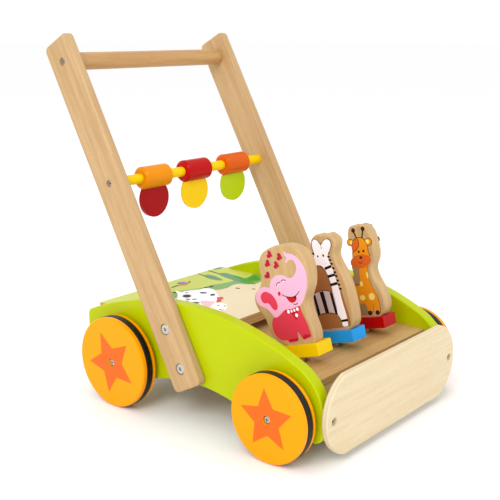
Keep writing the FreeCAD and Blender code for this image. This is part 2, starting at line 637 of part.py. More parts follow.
# ---------------------------------------------------------------- cams on the front axle
def cam_outline():
    """A cam with its nose upwards: a large round, a small round and two flats."""
    base, nose, reach = size("camBase"), size("camNose"), size("camNoseReach")
    slope = math.acos((base - nose) / reach)
    out = V(math.sin(slope), math.cos(slope))
    mirror = V(-out.x, out.y)
    tip = V(0, reach)
    angle = 90 - math.degrees(slope)
    return [
        arc_of(V(0, 0), base, 180 - angle, 270, 360 + angle),
        line(out * base, tip + out * nose),
        arc_of(tip, nose, angle, 90, 180 - angle),
        line(tip + mirror * nose, mirror * base),
        Part.Circle(V(0, 0), Z_AXIS, size("axleDiameter") / 2),
    ]


for animal, at in ANIMALS.items():
    node = animal + "_cam"
    body, pad = plate_body(node, cam_outline(), "Sheet.camThickness")
    base = V(at * size("animalSpacing") - size("camThickness") / 2, *FRONT_AXLE)
    body.Placement = FreeCAD.Placement(base, FreeCAD.Rotation(X_AXIS, CAM_ANGLES[animal]))
    keep(node, body)

# ---------------------------------------------------------------- rollers and their discs
for order, x in ROLLERS.items():
    drop = size("rollerLength") / 2
    disc_turn = FreeCAD.Rotation(X_AXIS, 90)
    disc_base = (x, ROD[0] + size("discThickness") / 2, ROD[1] - size("discDrop"))
    disc = primitive("Cylinder", order + "_disc_round", disc_base, disc_turn,
                     Radius="Sheet.discDiameter / 2", Height="Sheet.discThickness")
    lid = primitive("Box", order + "_disc_top", (x - 30, ROD[0] - 10, ROD[1] - size("discCut")),
                    Length="60 mm", Width="20 mm", Height="30 mm")
    disc = keep(order + "_disc", cut(order + "_disc", disc, [lid]))
    blank = hole(order + "_roller_blank", ROD, x - drop, "Sheet.rollerDiameter / 2", "Sheet.rollerLength")
    doc.recompute()
    ends = doc.addObject("Part::Chamfer", order + "_roller_ends")
    ends.Base = blank
    ends.Edges = [(i, size("rollerChamfer"), size("rollerChamfer"))
                  for i, edge in enumerate(blank.Shape.Edges, start=1) if edge.Closed]
    bore = hole(order + "_roller_bore", ROD, x - drop, "Sheet.rodDiameter / 2 + Sheet.runningGap",
                "Sheet.rollerLength")
    keep(order + "_roller", cut(order + "_roller", ends, [bore, disc]))

# ---------------------------------------------------------------- animals, base blocks and levers
# Each outline starts at the front of the feet and runs up the front, over the top and down
# the back: (back from the block's front edge, up from the block's underside).
FIGURES = {
    "elephant": [(6, 14), (4, 20), (5, 37), (7, 48), (7, 58), (3, 68), (-3, 77), (-7, 89), (-8, 101),
                 (-6, 111), (1, 121), (14, 127), (28, 129), (42, 127), (54, 122), (60, 113), (62, 98),
                 (66, 86), (76, 78), (79, 68), (76, 58), (70, 49), (68, 38), (65, 28), (57, 19), (46, 14)],
    "zebra": [(5, 14), (-1, 21), (-3, 33), (-3, 48), (-2, 64), (2, 81), (7, 94), (8, 104), (4, 113),
              (3, 120), (8, 126), (14, 129), (20, 128), (26, 129.5), (33, 127.5), (37.5, 122), (39, 112),
              (38, 102), (40, 92),
              (46, 79), (54, 66), (58, 50), (57, 34), (52, 20), (47, 14)],
    "giraffe": [(6, 14), (-1, 22), (-3, 33), (0, 47), (6, 62), (7, 74), (2, 83), (-1, 93), (-1, 103),
                (0, 113), (3, 122), (8, 127), (13, 129), (18, 128), (23, 129), (29, 126.5), (32, 120),
                (33, 111), (30, 101),
                (32, 91), (30, 80), (30, 70), (38, 60), (50, 50), (54, 36), (51, 22), (46, 14)],
}


def figure_outline(points):
    """A smooth outline through the points, with a straight foot."""
    knots = [V(*point) for point in points]
    curve = Part.BSplineCurve()
    curve.interpolate(knots)
    return [curve, line(knots[-1], knots[0])]


TIPPED = FreeCAD.Rotation(X_AXIS, -size("baseLean"))


def tipped_place(x, back, up):
    """A place on a tipped base block, with the block's own tilt."""
    return FreeCAD.Placement(V(x, *on_block(back, up)), TIPPED)


def bobbed(animal, placement):
    """A placement that has turned with its animal about the pivot rod."""
    turn = FreeCAD.Rotation(X_AXIS, -BOB[animal])
    return FreeCAD.Placement(V(), turn, V(0, *PIVOT)).multiply(placement)


PIN_BACKS = (13.0, 27.0)
PIN_LOW, PIN_HIGH = 3.0, 28.0
FOLLOWER = (size("frontAxleY"), size("leverBottomZ"))
for animal, at in ANIMALS.items():
    x = at * size("animalSpacing")
    pins = []
    for back in PIN_BACKS:
        pin = Part.makeCylinder(size("pinDiameter") / 2, PIN_HIGH - PIN_LOW)
        pin.Placement = bobbed(animal, tipped_place(x, back, PIN_LOW))
        pins.append(pin)
    group(animal + "_pins", pins)

    body, pad = plate_body(animal + "_plank", figure_outline(FIGURES[animal]), "Sheet.figureThickness")
    body.Placement = bobbed(animal, tipped_place(x - size("figureThickness") / 2, 0, 0))
    round_edges(body, pad, animal + "_edges", "Sheet.figureEdge",
                lambda edge: on_faces("X")(edge) and edge.BoundBox.DiagonalLength > size("baseLength") * 2)
    keep(animal + "_figure",
         cut(animal + "_figure", body, [fixed(animal + "_figure_pin", pin) for pin in pins]))

    riser = primitive("Cylinder", animal + "_riser", (0, 0, 0), Radius="Sheet.riserDiameter / 2",
                      Height="Sheet.riserBelow + Sheet.riserInBlock")
    riser.Placement = bobbed(animal, tipped_place(x, size("riserBack"), -size("riserBelow")))
    keep(animal + "_riser", riser)

    block = primitive("Box", animal + "_block", (0, 0, 0), Length="Sheet.baseWidth",
                      Width="Sheet.baseLength", Height="Sheet.baseHeight")
    block.Placement = bobbed(animal, tipped_place(x - size("baseWidth") / 2, 0, 0))
    keep(animal + "_base",
         cut(animal + "_base", block, [riser] + [fixed(animal + "_base_pin", pin) for pin in pins]))

    left_face = x - size("leverWidth") / 2
    follower = keep(animal + "_cam_follower", hole(animal + "_cam_follower", FOLLOWER, left_face,
                                                   "Sheet.followerDiameter / 2", "Sheet.leverWidth"))
    follower.Placement = bobbed(animal, follower.Placement)
    bar = primitive("Box", animal + "_bar", (left_face, size("leverFrontY"), size("leverBottomZ")),
                    Length="Sheet.leverWidth", Width="Sheet.leverRearY - Sheet.leverFrontY",
                    Height="Sheet.leverHeight")
    bar.Placement = bobbed(animal, bar.Placement)
    eye = hole(animal + "_eye", PIVOT, left_face, "Sheet.pivotDiameter / 2 + Sheet.runningGap",
               "Sheet.leverWidth")
    keep(animal + "_lever", cut(animal + "_lever", bar, [eye, riser, follower]))

group("lever_pivot_rod", [rod_x(size("pivotDiameter") / 2, -size("innerWidth") / 2 - 8,
                                size("innerWidth") / 2 + 8, PIVOT)])

# ---------------------------------------------------------------- checks and export
doc.recompute()
for item in doc.Objects:
    if any(word in item.State for word in ("Invalid", "Error")):
        raise RuntimeError(f"{item.Label}: {item.State}")
for node, feature in PARTS.items():
    if feature.Shape.isNull() or not feature.Shape.isValid() or not feature.Shape.Solids:
        raise RuntimeError(f"{node} has no valid solid")

os.makedirs("parts", exist_ok=True)
for node, feature in PARTS.items():
    feature.Shape.exportStep(f"parts/{node}.step")
print(len(PARTS), "sub-parts written")
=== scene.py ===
"""Studio scene of a wooden baby walker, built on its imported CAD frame."""
import math

import bpy
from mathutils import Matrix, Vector


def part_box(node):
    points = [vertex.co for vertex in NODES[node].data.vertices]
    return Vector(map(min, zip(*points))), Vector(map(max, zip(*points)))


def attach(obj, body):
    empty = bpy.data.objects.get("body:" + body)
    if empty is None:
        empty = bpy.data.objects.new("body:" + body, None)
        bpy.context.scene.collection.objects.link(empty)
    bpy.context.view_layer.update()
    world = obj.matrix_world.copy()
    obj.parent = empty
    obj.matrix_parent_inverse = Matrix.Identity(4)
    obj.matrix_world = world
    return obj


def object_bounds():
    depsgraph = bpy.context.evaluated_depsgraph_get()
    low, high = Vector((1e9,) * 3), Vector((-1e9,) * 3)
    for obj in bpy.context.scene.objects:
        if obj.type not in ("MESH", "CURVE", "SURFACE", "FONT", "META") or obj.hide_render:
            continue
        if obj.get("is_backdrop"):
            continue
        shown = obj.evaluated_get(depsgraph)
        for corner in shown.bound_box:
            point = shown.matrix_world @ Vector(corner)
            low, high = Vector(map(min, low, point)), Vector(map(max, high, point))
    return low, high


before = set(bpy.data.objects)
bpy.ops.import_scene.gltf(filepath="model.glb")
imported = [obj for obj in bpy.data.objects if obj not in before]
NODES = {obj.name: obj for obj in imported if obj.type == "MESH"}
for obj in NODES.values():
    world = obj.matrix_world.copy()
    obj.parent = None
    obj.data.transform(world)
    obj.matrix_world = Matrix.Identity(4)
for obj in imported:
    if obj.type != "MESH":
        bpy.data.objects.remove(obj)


def write_size(key, data):
    low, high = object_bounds()
    data[key] = [[float(v) for v in low], [float(v) for v in high]]


sizes = {}
write_size("loaded", sizes)

MM = 0.001
SIDES = {"right": -1, "left": 1}
TIP = {"elephant": 17.0, "zebra": 15.0, "giraffe": 14.5}      # degrees that each animal tips back
ANIMALS = tuple(TIP)
LEAN = math.radians(28.36)       # the posts lean back
BLOCK_HEIGHT = 14 * MM           # of the blocks under the animals
FIGURE_HALF = 9 * MM             # half the thickness of an animal
HUB_WELL = 5.3                   # radius, in millimetres, kept clear around a hub screw
STAR_WAIST = 0.48                # a star's inner radius as a share of its outer one
STARS = (("front", 36.2, 12.9), ("rear", 40.2, 62.9))      # radius in millimetres, turn in degrees
PLIES = {"bumper": (4, 8 * MM), "deck": (5, 10 * MM), "cross": (8, 14 * MM), "board": (5, 12 * MM)}


def middle(node):
    """The middle of a CAD node's box."""
    low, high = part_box(node)
    return (low + high) / 2


WHEEL_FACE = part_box("front_left_wheel")[1].x
BOARD_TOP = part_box("picture_board")[1].z
DECK_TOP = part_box("front_deck")[1].z
BUMPER_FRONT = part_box("bumper_plate")[0].y


# ---------------------------------------------------------------- materials
FINE_BUMP = 0.3 * MM             # the depth of wood fibres in the relief
ALONG = {"X": (0, 1, 1), "Y": (1, 0, 1), "Z": (1, 1, 0)}
GRAIN_STRETCH = 0.05             # grain is this much coarser along the wood
PAINT_STRETCH = 0.06
BAND_SCALE, FIBRE_SCALE, FLECK_SCALE = 150, 1300, 2600
BAND_SHARE = 0.62                # of the wood's tone; fibres give the rest
FLECK_DEPTH = 0.4
FLECK_SHADE = 0.55
EDGE_SHADE = 0.6                 # of the dark layers in a plywood edge
PAINTED_SHADE = 0.8
WORN_SHADE = 0.86                # of paint where the wood shows through
TARNISH_SHADE = 0.6
SPECKLE_SHADE = 0.85
UP_LIMITS = (0.75, 0.9)          # how far a face may turn before it counts as an edge


class Shader:
    """A material with short helpers for wiring its nodes."""

    def __init__(self, name):
        self.material = bpy.data.materials.new(name)
        self.material.use_nodes = True
        self.tree = self.material.node_tree
        self.surface = self.tree.nodes["Principled BSDF"]

    def node(self, kind, **settings):
        made = self.tree.nodes.new(kind)
        for key, value in settings.items():
            setattr(made, key, value)
        return made

    def link(self, source, target):
        self.tree.links.new(source, target)

    def value(self, socket, number):
        """Sets a socket from a number or from another socket."""
        if isinstance(number, bpy.types.NodeSocket):
            self.link(number, socket)
        else:
            socket.default_value = number

    def place(self, turn=(0, 0, 0), scale=(1, 1, 1)):
        """Object coordinates, turned and scaled."""
        coords = self.node("ShaderNodeTexCoord")
        turned = self.node("ShaderNodeMapping", vector_type="TEXTURE")
        turned.inputs["Rotation"].default_value = turn
        sized = self.node("ShaderNodeMapping")
        sized.inputs["Scale"].default_value = scale
        self.link(coords.outputs["Object"], turned.inputs["Vector"])
        self.link(turned.outputs["Vector"], sized.inputs["Vector"])
        return sized.outputs["Vector"]

    def noise(self, where, scale, detail=4, rough=0.5, distortion=0.0):
        """Noise from 0 to 1, with scale in features to a metre."""
        made = self.node("ShaderNodeTexNoise")
        self.link(where, made.inputs["Vector"])
        made.inputs["Scale"].default_value = scale
        made.inputs["Detail"].default_value = detail
        made.inputs["Roughness"].default_value = rough
        made.inputs["Distortion"].default_value = distortion
        return made.outputs["Fac"]

    def math(self, operation, a, b=0.0):
        made = self.node("ShaderNodeMath", operation=operation)
        self.value(made.inputs[0], a)
        self.value(made.inputs[1], b)
        return made.outputs[0]

    def span(self, a, low, high, to_low=0.0, to_high=1.0):
        """Eases a value from one range to another."""
        made = self.node("ShaderNodeMapRange", interpolation_type="SMOOTHSTEP")
        self.value(made.inputs[0], a)
        for i, number in enumerate((low, high, to_low, to_high), start=1):
            made.inputs[i].default_value = number
        return made.outputs[0]

    def mix(self, fac, a, b):
        """Blends two colours, each fixed or from a socket."""
        made = self.node("ShaderNodeMix", data_type="RGBA")
        self.value(made.inputs["Factor"], fac)
        for socket, colour in ((made.inputs[6], a), (made.inputs[7], b)):
            if isinstance(colour, bpy.types.NodeSocket):
                self.link(colour, socket)
            else:
                socket.default_value = (*colour, 1)
        return made.outputs[2]

    def bump(self, height, strength, distance=FINE_BUMP):
        made = self.node("ShaderNodeBump")
        made.inputs["Strength"].default_value = strength
        made.inputs["Distance"].default_value = distance
        self.link(height, made.inputs["Height"])
        self.link(made.outputs["Normal"], self.surface.inputs["Normal"])

    def finish(self, colour, rough, coat=0.0, coat_rough=0.1, metal=0.0, specular=0.3):
        """Wires the surface and returns the material."""
        target = self.surface.inputs
        if isinstance(colour, bpy.types.NodeSocket):
            self.link(colour, target["Base Color"])
        else:
            target["Base Color"].default_value = (*colour, 1)
        self.value(target["Roughness"], rough)
        target["Coat Weight"].default_value = coat
        target["Coat Roughness"].default_value = coat_rough
        target["Metallic"].default_value = metal
        target["Specular IOR Level"].default_value = specular
        return self.material


def shade(colour, share):
    """A colour darkened to a share of itself."""
    return tuple(part * share for part in colour)


def stretched(along, factor):
    """The scale that draws a texture out along one axis."""
    return tuple(part or factor for part in ALONG[along])


def srgb(red, green, blue):
    """A colour of the 0-255 kind as linear values."""
    parts = []
    for part in (red, green, blue):
        part /= 255
        parts.append(part / 12.92 if part <= 0.04045 else ((part + 0.055) / 1.055) ** 2.4)
    return tuple(parts)


def grain_colour(shader, light, dark, turn=(0, 0, 0), along="Z", seed=0.0):
    """Straight-grained wood: broad growth bands, fine fibres and short dark flecks."""
    where = shader.place(turn, stretched(along, GRAIN_STRETCH))
    shifted = shader.node("ShaderNodeVectorMath", operation="ADD")
    shader.link(where, shifted.inputs[0])
    shifted.inputs[1].default_value = (seed, seed * 1.7, seed * 0.6)
    where = shifted.outputs[0]
    bands = shader.noise(where, BAND_SCALE, 3, 0.55, 0.4)
    fibres = shader.noise(where, FIBRE_SCALE, 5, 0.65)
    flecks = shader.span(shader.noise(where, FLECK_SCALE, 2, 0.5), 0.62, 0.74)
    tone = shader.math("ADD", shader.span(bands, 0.3, 0.7, 0.0, BAND_SHARE),
                       shader.span(fibres, 0.25, 0.75, 0.0, 1 - BAND_SHARE))
    base = shader.mix(tone, light, dark)
    fleck_mask = shader.math("MULTIPLY", flecks, FLECK_DEPTH)
    coloured = shader.mix(fleck_mask, base, shade(dark, FLECK_SHADE))
    return coloured, fibres, tone


def wood(name, light, dark, turn=(0, 0, 0), along="Z", rough=0.45, coat=0.03, seed=0.0):
    """Clear-lacquered solid wood."""
    shader = Shader(name)
    colour, fibres, tone = grain_colour(shader, light, dark, turn, along, seed)
    shader.bump(fibres, 0.12)
    gloss = shader.span(tone, 0, 1, rough + 0.06, rough - 0.04)
    return shader.finish(colour, gloss, coat, 0.18, specular=0.25)


def layered(name, light, dark, plate_axis, along, plies, start=0.0, face=None, seed=0.0,
            contrast=0.5):
    """Plywood: a grained or painted face, and edges with alternating layers.

    plate_axis is the axis through the board, plies its number of layers and its thickness.
    """
    shader = Shader(name)
    layers, thickness = plies
    colour, fibres, _ = grain_colour(shader, light, dark, (0, 0, 0), along, seed)
    coords = shader.node("ShaderNodeTexCoord")
    split = shader.node("ShaderNodeSeparateXYZ")
    shader.link(coords.outputs["Object"], split.inputs[0])
    facing = shader.node("ShaderNodeSeparateXYZ")
    shader.link(coords.outputs["Normal"], facing.inputs[0])
    depth = shader.math("MULTIPLY", shader.math("SUBTRACT", split.outputs[plate_axis], start),
                        layers / thickness)
    wobble = shader.noise(shader.place(), 60, 2)
    depth = shader.math("ADD", depth, shader.math("MULTIPLY", wobble, 0.25))
    pair = shader.math("FRACT", shader.math("MULTIPLY", depth, 0.5))
    strip = shader.math("MULTIPLY", shader.span(pair, 0.42, 0.5),
                        shader.span(pair, 0.92, 1.0, 1.0, 0.0))
    fibrous = shader.mix(shader.span(fibres, 0.3, 0.7, 0, 0.5), light, dark)
    edge = shader.mix(shader.math("MULTIPLY", strip, contrast), fibrous, shade(dark, EDGE_SHADE))
    is_face = shader.span(shader.math("ABSOLUTE", facing.outputs[plate_axis]), *UP_LIMITS)
    top = colour
    if face:
        top = shader.mix(shader.span(fibres, 0.3, 0.7, 0, 0.06), face, shade(face, PAINTED_SHADE))
        only_up = shader.span(facing.outputs[plate_axis], *UP_LIMITS)
        top = shader.mix(only_up, colour, top)
    shader.bump(fibres, 0.1)
    return shader.finish(shader.mix(is_face, edge, top), 0.45, 0.03, 0.15)


def paint(name, colour, rough=0.28, coat=0.04, grain=0.05, along="Y", mottle=0.06):
    """Gloss paint on wood: a trace of grain below, slight mottling and fine scuffs."""
    shader = Shader(name)
    drawn_out = shader.place(scale=stretched(along, PAINT_STRETCH))
    fibres = shader.noise(drawn_out, 800, 4, 0.6)
    clouds = shader.noise(shader.place(), 18, 3)
    scuffs = shader.span(shader.noise(shader.place(), 240, 5, 0.7), 0.64, 0.8)
    uneven = shader.math("ADD", shader.span(clouds, 0.3, 0.7, 0, mottle * 4),
                         shader.span(fibres, 0.35, 0.7, 0, mottle * 2))
    tinted = shader.mix(uneven, colour, shade(colour, WORN_SHADE))
    shader.bump(fibres, grain)
    gloss = shader.math("ADD", shader.math("MULTIPLY", scuffs, 0.14), rough)
    return shader.finish(tinted, gloss, coat, 0.08, specular=0.1)


def rubber(name):
    """Smooth black rubber with a little dust."""
    shader = Shader(name)
    dust = shader.span(shader.noise(shader.place(), 160, 5, 0.7), 0.5, 0.8, 0, 0.5)
    fine = shader.noise(shader.place(), 1500, 2)
    shader.bump(fine, 0.08, 0.2 * MM)
    colour = shader.mix(dust, srgb(10, 9, 10), srgb(26, 25, 26))
    return shader.finish(colour, shader.span(dust, 0, 0.5, 0.42, 0.6))


def metal(name, colour, rough=0.3):
    """Zinc-plated steel with fine brushing."""
    shader = Shader(name)
    fine = shader.noise(shader.place(scale=(1, 1, 0.2)), 2500, 3)
    patches = shader.noise(shader.place(), 300, 3)
    shader.bump(fine, 0.1, 0.1 * MM)
    tarnish = shader.span(patches, 0.35, 0.7, 0, 0.35)
    tinted = shader.mix(tarnish, colour, shade(colour, TARNISH_SHADE))
    gloss = shader.span(patches, 0.3, 0.7, rough - 0.06, rough + 0.12)
    return shader.finish(tinted, gloss, metal=1.0)


def plain(name, colour, rough=0.45, coat=0.04):
    """Printing ink or plastic: an even colour with a faint speckle."""
    shader = Shader(name)
    speckle = shader.span(shader.noise(shader.place(), 900, 3), 0.35, 0.7, 0, 0.12)
    tinted = shader.mix(speckle, colour, shade(colour, SPECKLE_SHADE))
    return shader.finish(tinted, rough, coat, 0.2, specular=0.18)


BEECH = (srgb(200, 168, 122), srgb(180, 142, 96))
DARK_BEECH = (srgb(198, 156, 104), srgb(176, 132, 80))
PLY = (srgb(224, 208, 174), srgb(214, 192, 150))
PLANK = (srgb(204, 170, 120), srgb(184, 148, 98))
DECK = (srgb(206, 170, 112), srgb(182, 140, 86))
GREEN = srgb(182, 196, 0)
MEADOW_GREEN = srgb(196, 206, 84)

M = {
    "green": paint("green_paint", GREEN, along="Y", rough=0.3),
    "post": wood("post_beech", *BEECH, turn=(-LEAN, 0, 0), along="Z"),
    "handle": wood("handle_beech", *DARK_BEECH, along="X", seed=0.7),
    "lever": wood("lever_beech", *BEECH, along="Y", seed=0.3),
    "axle": wood("axle_beech", *BEECH, along="X", seed=1.3),
    "cam": wood("cam_beech", *BEECH, along="Y", seed=2.1),
    "plank": wood("figure_wood", *PLANK, turn=(-math.radians(TIP["zebra"]), 0, 0), along="Z",
                  seed=1.1),
    "bumper": layered("bumper_plywood", *PLY, 1, "X", PLIES["bumper"], BUMPER_FRONT, seed=0.4,
                      contrast=0.25),
    "deck": layered("deck_plywood", *DECK, 2, "X", PLIES["deck"], DECK_TOP - PLIES["deck"][1],
                    seed=0.9),
    "cross": layered("cross_plywood", *PLY, 1, "X", PLIES["cross"], seed=1.9),
    "board": layered("board_plywood", *DECK, 2, "X", PLIES["board"],
                     BOARD_TOP - PLIES["board"][1], MEADOW_GREEN, seed=1.5, contrast=0.35),
    "wheel": paint("wheel_paint", srgb(250, 158, 0), rough=0.24, coat=0.05, grain=0.02,
                   mottle=0.02),
    "tyre": rubber("tyre_rubber"),
    "steel": metal("zinc_steel", srgb(196, 196, 192)),
    "nylon": plain("white_nylon", srgb(232, 230, 222), 0.5, 0.0),
    "yellow": paint("yellow_paint", srgb(246, 204, 0), along="X"),
    "blue": paint("blue_paint", srgb(34, 156, 236)),
    "red": paint("red_paint", srgb(182, 5, 5)),
    "dark_red": paint("dark_red_paint", srgb(164, 5, 4)),
    "amber": paint("amber_paint", srgb(226, 140, 2), along="X"),
    "orange": paint("orange_paint", srgb(212, 90, 6), along="X"),
    "lime": paint("lime_paint", srgb(182, 206, 12)),
}

LOOKS = {
    "green": ["left_side_panel", "right_side_panel"],
    "post": ["left_post", "right_post"],
    "handle": ["push_handle", "joining_dowels"],
    "lever": [a + part for a in ANIMALS for part in ("_lever", "_riser", "_pins")],
    "axle": ["front_axle", "rear_axle"],
    "cam": [a + "_cam" for a in ANIMALS],
    "plank": [a + "_figure" for a in ANIMALS],
    "bumper": ["bumper_plate"],
    "deck": ["front_deck"],
    "cross": ["front_cross_panel", "rear_cross_panel"],
    "board": ["picture_board"],
    "wheel": [f"{p}_{s}_wheel" for p in ("front", "rear") for s in SIDES],
    "tyre": [f"{p}_{s}_tyre" for p in ("front", "rear") for s in SIDES],
    "steel": ["handle_screws", "rod_screws", "post_bolts", "threaded_inserts", "bumper_screws",
              "lever_pivot_rod", "front_hub_screws", "rear_hub_screws"]
             + [a + "_cam_follower" for a in ANIMALS],
    "nylon": ["axle_bushes", "front_axle_spacers", "rear_axle_spacers"],
    "yellow": ["roller_rod", "elephant_base", "second_disc"],
    "blue": ["zebra_base"],
    "red": ["giraffe_base", "second_roller"],
    "dark_red": ["first_disc"],
    "amber": ["first_roller"],
    "orange": ["third_roller"],
    "lime": ["third_disc"],
}
for look, names in LOOKS.items():
    for name in names:
        piece = NODES[name]
        piece.data.materials.clear()
        piece.data.materials.append(M[look])


# ---------------------------------------------------------------- printed pictures
INK_COLOURS = {
    "pink": (247, 178, 208), "rose": (226, 62, 88), "crimson": (222, 58, 80),
    "hoof": (190, 20, 52), "heart": (178, 6, 52), "white": (250, 249, 250),
    "grey": (206, 196, 196), "black": (12, 8, 8), "mouth": (196, 14, 16),
    "earth": (158, 106, 56), "dust": (160, 124, 84), "orange": (232, 142, 14),
    "rust": (214, 96, 28), "cream": (244, 224, 120), "brown": (66, 26, 14),
    "sand": (228, 212, 178), "hill": (122, 168, 92), "teal": (96, 146, 110),
    "grass": (62, 150, 30), "violet": (112, 120, 180), "snail": (206, 122, 60),
    "cow_pink": (240, 190, 204), "cow_red": (206, 70, 58),
}
INK = {"star": plain("ink_star", srgb(222, 100, 8), 0.3, 0.05)}
for ink, colour in INK_COLOURS.items():
    INK[ink] = plain("ink_" + ink, srgb(*colour))
LAYER = 0.04 * MM                # each layer of ink stands this much higher


def smooth(points, steps=5, closed=True):
    """A Catmull-Rom curve through the points."""
    count = len(points)
    result = []
    for i in range(count if closed else count - 1):
        if closed:
            a, b, c, d = (Vector(points[(i + k) % count]) for k in (-1, 0, 1, 2))
        else:
            a, b, c, d = (Vector(points[min(max(i + k, 0), count - 1)]) for k in (-1, 0, 1, 2))
        for j in range(steps):
            t = j / steps
            result.append(0.5 * (2 * b + (c - a) * t + (2 * a - 5 * b + 4 * c - d) * t * t
                                 + (3 * b - a - 3 * c + d) * t ** 3))
    if not closed:
        result.append(Vector(points[-1]))
    return [tuple(p) for p in result]


def oval(centre, across, up, turn=0.0, count=24):
    """An ellipse's outline."""
    c, s = math.cos(math.radians(turn)), math.sin(math.radians(turn))
    ring = []
    for i in range(count):
        angle = math.tau * i / count
        a, b = across * math.cos(angle), up * math.sin(angle)
        ring.append((centre[0] + a * c - b * s, centre[1] + a * s + b * c))
    return ring


def stroke(points, width, steps=5):
    """The outline of a pen stroke through the points, thinner at its ends."""
    line = smooth(points, steps, closed=False)
    left, right = [], []
    last = len(line) - 1
    for i, point in enumerate(line):
        before, after = Vector(line[max(i - 1, 0)]), Vector(line[min(i + 1, last)])
        along = (after - before).normalized()
        half = width / 2 * (0.55 if i in (0, last) else 1)
        out = Vector((-along.y, along.x)) * half
        left.append(tuple(Vector(point) + out))
        right.append(tuple(Vector(point) - out))
    return left + right[::-1]


def heart(centre, size, turn, count=28):
    """A heart's outline."""
    c, s = math.cos(math.radians(turn)), math.sin(math.radians(turn))
    ring = []
    for i in range(count):
        t = math.tau * i / count
        a = size * math.sin(t) ** 3
        b = size * (13 * math.cos(t) - 5 * math.cos(2 * t) - 2 * math.cos(3 * t)
                    - math.cos(4 * t)) / 16
        ring.append((centre[0] + a * c - b * s, centre[1] + a * s + b * c))
    return ring


STAR_CORNERS = 10                # five points and the five corners between them
STAR_STEP = 360 / STAR_CORNERS
WELL_SIDES = 12                  # of each half of the round hole


def star(radius, waist, turn):
    """A five-pointed star's outline."""
    ring = []
    for i in range(STAR_CORNERS):
        angle = math.radians(turn + STAR_STEP * i)
        reach = waist if i % 2 else radius
        ring.append((reach * math.cos(angle), reach * math.sin(angle)))
    return ring


def turning(ring):
    """Twice the signed area of an outline: positive when it runs anticlockwise."""
    return sum(ring[i - 1][0] * ring[i][1] - ring[i][0] * ring[i - 1][1]
               for i in range(len(ring)))


def star_halves(radius, waist, turn, well):
    """A star with a round hole for the hub screw, in two halves that meet on two points."""
    ring = star(radius, waist, turn)
    halves = []
    half = STAR_CORNERS // 2
    for first in (0, half):
        outer = [ring[(first + i) % STAR_CORNERS] for i in range(half + 1)]
        inner = []
        for i in range(WELL_SIDES, -1, -1):
            angle = math.radians(turn + STAR_STEP * first + 180 / WELL_SIDES * i)
            inner.append((well * math.cos(angle), well * math.sin(angle)))
        halves.append(outer + inner)
    return halves


class Print:
    """Thin layers of ink on one flat face, with outlines in millimetres."""

    def __init__(self, name, body, place, slot):
        self.name, self.body, self.place, self.slot = name, body, place, slot
        self.inks = {}
        self.level = 1

    def add(self, ink, *outlines):
        """One layer of ink, above all earlier ones."""
        verts, faces = self.inks.setdefault(ink, ([], []))
        height = self.level * LAYER
        self.level += 1
        for ring in outlines:
            if turning(ring) < 0:
                ring = ring[::-1]
            start, count = len(verts), len(ring)
            verts += [self.place(a * MM, b * MM, height) for a, b in ring]
            verts += [self.place(a * MM, b * MM, 0.0) for a, b in ring]
            faces.append(list(range(start, start + count)))
            for i in range(count):
                j = (i + 1) % count
                faces.append([start + i, start + count + i, start + count + j, start + j])

    def build(self, face_normal):
        """Makes one object of each ink and lets it ride on the body."""
        for ink, (verts, faces) in self.inks.items():
            mesh = bpy.data.meshes.new(f"{self.name}_{ink}")
            mesh.from_pydata([tuple(v) for v in verts], [], faces)
            mesh.update()
            top = mesh.polygons[0]
            if top.normal.dot(face_normal) < 0:
                mesh.flip_normals()
            mesh.update()
            mesh.materials.append(INK[ink])
            piece = bpy.data.objects.new(f"{self.name}_{ink}", mesh)
            bpy.context.scene.collection.objects.link(piece)
            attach(piece, self.body)


def wheel_face(side, axle):
    """Places ink on a wheel's outer face."""
    return lambda a, b, h: Vector((side * (WHEEL_FACE + h), axle.y + a, axle.z + b))


def board_face(a, b, height):
    """Places ink on the picture board: a is X and b is Y."""
    return Vector((a, b, BOARD_TOP + height))


def figure_face(animal, side):
    """Places ink on a figure's flat face: back from the block's front, and up."""
    face = middle(animal + "_figure").x + side * FIGURE_HALF
    low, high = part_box(animal + "_base")
    c, s = math.cos(math.radians(TIP[animal])), math.sin(math.radians(TIP[animal]))

    def place(back, up, height):
        y = low.y + c * back + s * up
        z = high.z - c * BLOCK_HEIGHT + c * up - s * back
        return Vector((face + side * height, y, z))
    return place


for pair, radius, turn in STARS:
    for side_name, side in SIDES.items():
        where = wheel_face(side, middle(pair + "_axle"))
        picture = Print(f"{pair}_{side_name}_star", f"{pair}_axle_set", where, "wheel_paint")
        picture.add("star", *star_halves(radius, radius * STAR_WAIST, turn, HUB_WELL))
        picture.build(Vector((side, 0, 0)))


